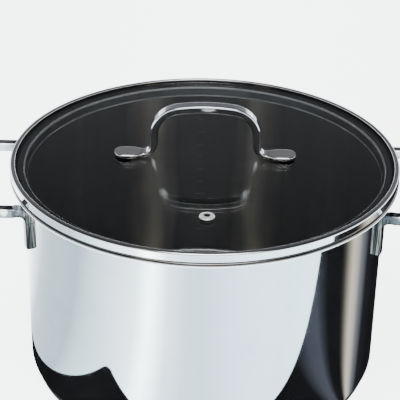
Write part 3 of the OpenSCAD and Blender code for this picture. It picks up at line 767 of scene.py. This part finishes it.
def k_width(x):
    if x < 51:
        return knob_w
    if x < 62:
        return knob_w + (knob_fw - knob_w) * (0.5 - 0.5 * math.cos(math.pi * (x - 51) / 11))
    if x < knob_len - 7.5:
        return knob_fw
    return knob_fw - 2 * 7.5 * (1 - math.sqrt(max(0.0, 1 - ((x - knob_len + 7.5) / 7.6) ** 2)))


def knob_ring(o, n, w):
    o, n = Vector(o), Vector(n)
    th = (o - n).length
    e, mid = (o - n) / th, (o + n) / 2
    r = min(1.25, th * 0.33)
    ring = []
    for sx, sy, a0 in ((1, 1, 0), (-1, 1, 90), (-1, -1, 180), (1, -1, 270)):
        for k in range(7):
            t = rad(a0 + 15.0 * k)
            a, b = sx * (w / 2 - r) + r * math.cos(t), sy * (th / 2 - r) + r * math.sin(t)
            ring.append((mid.x + e.x * b, a, mid.y + e.y * b))
    return ring


half_st = [(o, n, knob_w if i < n_bar else k_width(max(o[0], n[0]))) for i, (o, n) in enumerate(zip(k_out, k_in))]
full = [((-o[0], o[1]), (-n[0], n[1]), w) for o, n, w in reversed(half_st[1:])] + half_st
s = Shape()
sweep(s, [knob_ring(*q) for q in full])
# the flat tops of the feet take the ground finish, darkened as painted shade
for fi, f in enumerate(s.f):
    if len(f) == 4 and all(abs(s.v[i][0]) > 54 and s.v[i][2] > kf - 0.01 for i in f):
        s.m[fi] = 1
s.finish("lid_arch_handle", "lid", ["lid_handle"], "handle_steel", ["knob", "knob_flat"], 60.0)


def pair(name, node, slot, mat, prof, cols=64, sharp=38.0):
    sh = Shape()
    for sx in (-1, 1):
        lathe(sh, prof, cols, sx * screw_x, 0.0)
    return sh.finish(name, "lid", [node], slot, [mat], sharp)


pair("knob_inserts", "handle_inserts", "fastener_steel", "fast", hold([(2.55, glass_bot + 0.3), (3.5, glass_bot + 0.3), (3.5, foot_bot), (2.55, foot_bot)], 0.2))
pair("knob_gaskets", "handle_gaskets", "silicone", "rubber", hold([(3.5, glass_bot + 0.3), (4.6, glass_bot + 0.3), (4.6, glass_top), (6.9, glass_top)] + arc(6.9, glass_top + 0.4, 0.4, -70, 0, 4) + [(7.3, foot_bot - 0.3)] + arc(7.0, foot_bot - 0.3, 0.3, 20, 90, 4) + [(3.5, foot_bot)], 0.1))
pair("knob_lower_gaskets", "handle_lower_gaskets", "silicone", "rubber", hold([(2.8, glass_bot - 1), (6.8, glass_bot - 1), (7, glass_bot - 0.8), (7, glass_bot), (2.8, glass_bot)], 0.1))
pair("knob_washers", "handle_washers", "fastener_steel", "fast", hold([(2.7, glass_bot - 1.8), (6.35, glass_bot - 1.8), (6.5, glass_bot - 1.65), (6.5, glass_bot - 1.0), (2.7, glass_bot - 1.0)], 0.1))
z0 = glass_bot - 1.8
pair("knob_screws", "handle_screws", "fastener_steel", "fast",
     [(0, z0 - 1.0), (1.6, z0 - 1.0, 6), (1.75, z0 - 1.0, 6), (1.75, z0 - 1.1, 6), (1.75, z0 - 2.2, 6), (1.95, z0 - 2.4, 6), (2.4, z0 - 2.4), (3.4, z0 - 2.4)]
     + arc(3.6, z0 - 1.2, 1.2, -90, 0, 10) + [(4.8, z0 - 0.15), (4.7, z0), (2.6, z0), (2.5, z0 + 0.1), (2.5, z0 + 6.1), (2.2, z0 + 6.4), (0, z0 + 6.4)], 72)

s = Shape()
ep = ([(vent_r, glass_bot - 2.1), (vent_r + 0.3, glass_bot - 2.1), (4.1, glass_bot - 2.1)] + arc(4.3, glass_bot - 1.7, 0.4, -80, 80, 8)[:-1] + [(4.3, glass_bot - 1.3), (3.2, glass_bot - 1.3), (3.2, glass_bot - 1.1), (3.2, glass_top + 0.4), (3.3, glass_top + 0.5), (5.9, glass_top + 0.5)]
      + arc(5.5, glass_top + 0.9, 0.8, -20, 80, 10) + arc(vent_r + 0.9, glass_top + 1.2, 0.9, 90, 180, 12) + [(vent_r, glass_top + 1.0), (vent_r, glass_bot - 1.9)])
# faces within 0.8 mm of the bore's radius take the dark painted-shade finish
lathe(s, ep, 96, vent_x, vent_y, mats=[1 if q[0] < vent_r + 0.8 else 0 for q in ep])
s.finish("vent_steel_eyelet", "lid", ["vent_eyelet"], "rim_steel", ["eyelet", "bore"])
s = Shape()
lathe(s, hold([(3.2, glass_bot - 1.3), (6.05, glass_bot - 1.3), (6.2, glass_bot - 1.15), (6.2, glass_bot - 0.6), (3.2, glass_bot - 0.6)], 0.1), 72, vent_x, vent_y)
s.finish("vent_steel_washer", "lid", ["vent_washer"], "fastener_steel", ["fast"])
s = Shape()
lathe(s, hold([(3.2, glass_bot - 0.6), (5.6, glass_bot - 0.6), (5.6, glass_bot), (4.2, glass_bot), (4.2, glass_top), (5.8, glass_top), (5.8, glass_top + 0.5), (3.2, glass_top + 0.5)], 0.08), 72, vent_x, vent_y)
s.finish("vent_sleeve", "lid", ["vent_seal"], "silicone", ["rubber"])

# ---------------------------------------------------------------- rack
s = Shape()
torus(s, ring_r, ring_d / 2, ring_z)
s.finish("rack_ring_outer", "rack", ["rack_outer_ring"], "wire_steel", ["wire"], 60.0, False)
s = Shape()
torus(s, inner_ring_r, ring_d / 2, ring_z, 240)
s.finish("rack_ring_inner", "rack", ["rack_inner_ring"], "wire_steel", ["wire"], 60.0, False)


def nugget(shape, c, rx, ry, rz, n=14, m=8):
    """Small weld bead."""
    verts, faces = [(c[0], c[1], c[2] - rz)], []
    for i in range(1, m):
        t = -90 + 180.0 * i / m
        for j in range(n):
            a = 360.0 * j / n
            verts.append((c[0] + rx * math.cos(rad(t)) * math.cos(rad(a)), c[1] + ry * math.cos(rad(t)) * math.sin(rad(a)), c[2] + rz * math.sin(rad(t))))
    verts.append((c[0], c[1], c[2] + rz))
    for j in range(n):
        faces.append((0, 1 + (j + 1) % n, 1 + j))
        top = 1 + (m - 2) * n
        faces.append((top + j, top + (j + 1) % n, len(verts) - 1))
        for i in range(m - 2):
            a, b = 1 + i * n, 1 + (i + 1) * n
            faces.append((a + j, a + (j + 1) % n, b + (j + 1) % n, b + j))
    shape.add(verts, faces)


s = Shape()
for i in range(-4, 5):
    y = i * wire_pitch
    x = math.sqrt((ring_r + 1) ** 2 - y * y)
    path, radii = rounded_ends([(-x, y, wire_z), (-x + 4, y, wire_z), (-x / 2, y, wire_z), (0, y, wire_z), (x / 2, y, wire_z), (x - 4, y, wire_z), (x, y, wire_z)], wire_d / 2, 0.4)
    tube(s, path, radii, 20)
    for R in (ring_r, inner_ring_r):
        if abs(y) < R - 5:
            xx = math.sqrt(R * R - y * y)
            for sx in (-1, 1):
                nugget(s, (sx * xx, y, ring_z + ring_d / 2 - 0.15), 2.1, 2.0, 0.75)
s.finish("rack_wires", "rack", ["rack_cross_wires"], "wire_steel", ["wire"], 60.0, False)

s = Shape()
d, r, hw, zf, ztop = 4.0, 5.0, 14.0, floor_z + gap + 2.0, ring_z + 1.8
for q in (45, 135, 225, 315):
    er = Vector((math.cos(rad(q)), math.sin(rad(q)), 0))
    et = Vector((-math.sin(rad(q)), math.cos(rad(q)), 0))
    R0 = ring_r - ring_d / 2 - d / 2 + 0.2
    pts = [(-hw, ztop), (-hw, ztop - 2)] + [(-hw + r + r * math.cos(rad(180 + 7.5 * i)), zf + r + r * math.sin(rad(180 + 7.5 * i))) for i in range(13)]
    pts = pts + [(0, zf)] + [(-a, b) for a, b in reversed(pts)]
    path = [tuple(er * R0 + et * a + Vector((0, 0, b))) for a, b in pts]
    path, radii = rounded_ends(path, d / 2, 0.45)
    tube(s, path, radii, 20, up=tuple(er))
s.finish("rack_wire_feet", "rack", ["rack_feet"], "wire_steel", ["wire"], 60.0, False)


def lug(shape, cx, cy):
    """Stamped lug: a plate with a round head and a bore, all its edges broken."""
    rb, ro_, down = bail_d / 2 + 0.1, 4.4, bail_z - ring_z
    a0 = math.degrees(math.atan2(down, ro_))
    angs = [i * 6.0 for i in range(0, 31)] + [180 + a0 * k / 5 for k in range(1, 6)] + [180 + a0 + (180 - 2 * a0) * k / 6 for k in range(1, 7)] + [360 - a0 + a0 * k / 5 for k in range(1, 5)]

    def outer(a, inset):
        c, sn = math.cos(rad(a)), math.sin(rad(a))
        if sn >= -1e-9:
            return (ro_ - inset)
        return min((ro_ - inset) / max(abs(c), 1e-6), (down - inset) / max(abs(sn), 1e-6))

    e = 0.25
    loops = []
    for kind, inset, y in (("o", 0, 1.5 - e), ("o", e * 0.3, 1.5 - e * 0.3), ("o", e, 1.5), ("i", e, 1.5), ("i", e * 0.3, 1.5 - e * 0.3), ("i", 0, 1.5 - e), ("i", 0, -1.5 + e), ("i", e * 0.3, -1.5 + e * 0.3), ("i", e, -1.5), ("o", e, -1.5), ("o", e * 0.3, -1.5 + e * 0.3), ("o", 0, -1.5 + e)):
        ring = []
        for a in angs:
            rr = outer(a, inset) if kind == "o" else rb + inset
            ring.append((cx + rr * math.cos(rad(a)), cy + y, bail_z + rr * math.sin(rad(a))))
        loops.append(ring)
    sweep(shape, loops, closed=True)


s = Shape()
for sx in (-1, 1):
    for sy in (-1, 1):
        lug(s, sx * lug_x, sy * lug_y)
s.finish("rack_lugs", "rack", ["rack_pivot_lugs"], "wire_steel", ["lug"], 40.0)


def bail(name, node, body, sx):
    r_, rc, x1 = 5.0, 14.0, lug_x - bail_len
    half_pts = [(x1, 0.0), (x1, bail_y - rc - 2), (x1, bail_y - rc)]
    half_pts += [(x1 + rc - rc * math.cos(rad(90.0 * i / 16)), bail_y - rc + rc * math.sin(rad(90.0 * i / 16))) for i in range(1, 17)]
    half_pts += [(x1 + rc + 2, bail_y), ((x1 + lug_x) / 2, bail_y), (lug_x - r_ - 2, bail_y)]
    half_pts += [(lug_x - r_ + r_ * math.sin(rad(90.0 * i / 12)), bail_y + r_ - r_ * math.cos(rad(90.0 * i / 12))) for i in range(0, 13)]
    tip = lug_y + 3.4
    base = [(lug_x, tip - 1.45), (lug_x, tip - 1.2), (lug_x, tip - 1.1), (lug_x, tip - 0.3), (lug_x, tip - 0.08), (lug_x, tip)]
    radii_tail = [2.0, 2.0, 2.8, 2.8, 2.65, 2.3]
    pts = half_pts + base
    rr = [2.0] * len(half_pts) + radii_tail
    path = [(sx * x, -y, bail_z) for x, y in reversed(pts[1:])] + [(sx * x, y, bail_z) for x, y in pts]
    radii = list(reversed(rr[1:])) + rr
    sh = Shape()
    n = len(path)
    rings = []
    for i in range(n):
        a, b = Vector(path[max(0, i - 1)]), Vector(path[min(n - 1, i + 1)])
        rings.append(tube_ring(path[i], b - a, radii[i], 22))
    sweep(sh, rings)
    return sh.finish(name, body, [node], "bail_steel", ["bail"], 50.0, False)


bail("bail_right", "right_bail", "right_bail", 1)
bail("bail_left", "left_bail", "left_bail", -1)

# ---------------------------------------------------------------- floor, light, camera
fl = bpy.data.meshes.new("floor")
fl.from_pydata([(-20, -20, 0), (20, -20, 0), (20, 20, 0), (-20, 20, 0)], [], [(0, 1, 2, 3)])
floor = bpy.data.objects.new("floor", fl)
bpy.context.scene.collection.objects.link(floor)
m, nt, b = new_mat("floor_pale")
co = object_coords(nt)
nt.links.new(ramp(nt, noise(nt, co, 3.0, 3.0, 0.5), [(0.3, (0.80, 0.81, 0.82)), (0.7, (0.84, 0.845, 0.85))]), b.inputs["Base Color"])
b.inputs["Roughness"].default_value = 0.55
b.inputs["Specular IOR Level"].default_value = 0.3
b.inputs["Emission Color"].default_value = (0.93, 0.965, 1.0, 1)
b.inputs["Emission Strength"].default_value = 4.6
fl.materials.append(m)

world = bpy.data.worlds.new("studio")
bpy.context.scene.world = world
world.use_nodes = True
nt = world.node_tree
bg = next(n for n in nt.nodes if n.type == "BACKGROUND")
tc = nt.nodes.new("ShaderNodeTexCoord")
sep = nt.nodes.new("ShaderNodeSeparateXYZ")
nt.links.new(tc.outputs["Generated"], sep.inputs[0])
sky = ramp(nt, sep.outputs[2], [(0.0, (0.94, 0.96, 0.98)), (0.10, (0.80, 0.82, 0.85)), (0.20, (0.10, 0.104, 0.112)), (0.36, (0.07, 0.073, 0.079)), (0.54, (0.030, 0.031, 0.0335)), (0.72, (0.014, 0.0145, 0.0155)), (0.86, (0.015, 0.0155, 0.0165)), (1.0, (0.05, 0.051, 0.053))])
nt.links.new(sky, bg.inputs["Color"])
bg.inputs["Strength"].default_value = 3.0


def smooth(nt, val, lo, hi):
    n = nt.nodes.new("ShaderNodeMapRange")
    n.interpolation_type = "SMOOTHSTEP"
    n.inputs["From Min"].default_value = lo
    n.inputs["From Max"].default_value = hi
    nt.links.new(val, n.inputs["Value"])
    return n.outputs["Result"]


def glow(nt, colour, strength, mask):
    """A soft-edged light in the studio's dome."""
    n = nt.nodes.new("ShaderNodeBackground")
    n.inputs["Color"].default_value = (*colour, 1)
    nt.links.new(math_node(nt, "MULTIPLY", mask, strength), n.inputs["Strength"])
    return n.outputs[0]


towards = nt.nodes.new("ShaderNodeVectorMath")
towards.operation = "DOT_PRODUCT"
nt.links.new(tc.outputs["Generated"], towards.inputs[0])
towards.inputs[1].default_value = Vector((0.05, -0.52, 1.0)).normalized()
overhead = smooth(nt, towards.outputs["Value"], math.cos(rad(23)), math.cos(rad(9)))
side = math_node(nt, "ARCTAN2", math_node(nt, "ABSOLUTE", sep.outputs[0]), math_node(nt, "MULTIPLY", sep.outputs[1], -1.0))
off = math_node(nt, "ABSOLUTE", math_node(nt, "SUBTRACT", side, rad(37)))
tall = math_node(nt, "MULTIPLY", smooth(nt, sep.outputs[2], 0.24, 0.36), smooth(nt, math_node(nt, "MULTIPLY", sep.outputs[2], -1.0), -0.86, -0.70))
strips = math_node(nt, "MULTIPLY", smooth(nt, math_node(nt, "MULTIPLY", off, -1.0), rad(-6.5), rad(-2.0)), tall)
out = next(n for n in nt.nodes if n.type == "OUTPUT_WORLD")
sum1 = nt.nodes.new("ShaderNodeAddShader")
sum2 = nt.nodes.new("ShaderNodeAddShader")
nt.links.new(bg.outputs[0], sum1.inputs[0])
nt.links.new(glow(nt, (1.0, 0.99, 0.97), 8.5, overhead), sum1.inputs[1])
nt.links.new(sum1.outputs[0], sum2.inputs[0])
nt.links.new(glow(nt, (1.0, 0.87, 0.68), 1.3, strips), sum2.inputs[1])
nt.links.new(sum2.outputs[0], out.inputs["Surface"])

li = bpy.data.lights.new("key_overhead", "AREA")
li.shape = "RECTANGLE"
li.size, li.size_y = 1.1, 1.1
li.energy = 45
key = bpy.data.objects.new("key_overhead", li)
bpy.context.scene.collection.objects.link(key)
key.location = (-0.5, -0.35, 2.1)
key.rotation_euler = (Vector((0, 0, 0.1)) - key.location).to_track_quat("-Z", "Y").to_euler()
key.visible_glossy = False
key.visible_transmission = False


def azimuth(nt, co, cx, cy):
    """Direction of a floor point from (cx, cy), -180 to 180 degrees from +X, as 0 to 1."""
    sep = nt.nodes.new("ShaderNodeSeparateXYZ")
    nt.links.new(co, sep.inputs[0])
    ang = math_node(nt, "ARCTAN2", math_node(nt, "SUBTRACT", sep.outputs[1], cy), math_node(nt, "SUBTRACT", sep.outputs[0], cx))
    return math_node(nt, "ADD", math_node(nt, "MULTIPLY", ang, 0.5 / math.pi), 0.5)


def card(name, pts, z, centre, stops, strength):
    """A lighting card on the floor, graded round a point. It only shows in the steel's reflections."""
    me = bpy.data.meshes.new(name)
    me.from_pydata([(x, y, z) for x, y in pts], [], [tuple(range(len(pts)))])
    ob = bpy.data.objects.new(name, me)
    bpy.context.scene.collection.objects.link(ob)
    mm, n_, bb = new_mat(name + "_paper")
    tone = ramp(n_, azimuth(n_, object_coords(n_), *centre), [((a + 180.0) / 360.0, c) for a, c in stops])
    bb.inputs["Base Color"].default_value = (0.002, 0.002, 0.002, 1)
    bb.inputs["Roughness"].default_value = 0.8
    bb.inputs["Specular IOR Level"].default_value = 0.0
    n_.links.new(tone, bb.inputs["Emission Color"])
    bb.inputs["Emission Strength"].default_value = strength
    mm.cycles.emission_sampling = "NONE"
    me.materials.append(mm)
    ob.visible_camera = False
    ob.visible_diffuse = False
    ob.visible_shadow = False
    ob.visible_transmission = False
    return ob


# angles are from +X towards +Y, so -90 is the front
sweep_stops = [(-180, (0.13, 0.16, 0.175)), (-159, (0.112, 0.147, 0.162)), (-149, (0.19, 0.24, 0.25)), (-140, (0.23, 0.31, 0.33)), (-132, (0.32, 0.35, 0.39)),
               (-123, (0.38, 0.46, 0.48)), (-116, (0.80, 0.92, 0.93)), (-107, (0.33, 0.37, 0.41)), (-98, (0.21, 0.27, 0.30)), (-90, (0.20, 0.26, 0.295)),
               (-71, (0.285, 0.34, 0.40)), (-40, (0.30, 0.40, 0.43)), (10, (0.34, 0.38, 0.40)), (40, (0.10, 0.105, 0.11)), (58, (0.05, 0.052, 0.056)), (70, (0.30, 0.32, 0.34)),
               (88, (0.60, 0.64, 0.66)), (100, (0.30, 0.32, 0.34)), (112, (0.07, 0.073, 0.078)), (120, (0.07, 0.073, 0.078)), (132, (0.36, 0.39, 0.41)), (150, (0.50, 0.54, 0.57)), (170, (0.16, 0.19, 0.205)), (180, (0.13, 0.16, 0.175))]
card("card_sweep", [(-4, -4), (4, -4), (4, 4), (-4, 4)], 0.0010, (0.0, 0.0), sweep_stops, 10.0)
dark = (0.0035, 0.0034, 0.0040)
right_stops = [(-180, dark), (-60, dark), (-40, (0.034, 0.038, 0.049)), (-26, (0.038, 0.043, 0.055)), (-19, (0.017, 0.0185, 0.024)), (-12, dark), (5, dark), (9, (0.03, 0.028, 0.024)),
               (13, (0.13, 0.115, 0.092)), (20, (0.42, 0.38, 0.305)), (26, (0.30, 0.28, 0.245)), (31, (0.11, 0.112, 0.12)), (36, (0.055, 0.058, 0.066)), (41, (0.008, 0.008, 0.0095)), (55, dark), (180, dark)]
card("card_dark", arc(-0.153, -0.168, 0.014, 180, 270, 8) + [(0.60, -0.182), (0.60, 0.9), (0.22, 0.9), (0.10, 0.10)] + arc(-0.117, 0.01, 0.05, 80, 180, 8), 0.0014, (0.122, -0.090), right_stops, 3.0)

cam_data = bpy.data.cameras.new("camera")
cam = bpy.data.objects.new("camera", cam_data)
bpy.context.scene.collection.objects.link(cam)
right = Vector((0.99981343, 0.01183532, 0.01526515)).normalized()
upv = Vector((-0.01907001, 0.47914951, 0.87752611)).normalized()
back = Vector((0.00307152, -0.8776535, 0.47928582)).normalized()
mat = Matrix((
    (right.x, upv.x, back.x, 0.0),
    (right.y, upv.y, back.y, -1.017932),
    (right.z, upv.z, back.z, 0.708936),
    (0, 0, 0, 1)))
cam.matrix_world = mat
cam_data.sensor_width = 36.0
cam_data.lens = 120.2907
cam_data.clip_start = 0.05
cam_data.clip_end = 30.0
bpy.context.scene.camera = cam
bpy.context.view_layer.update()
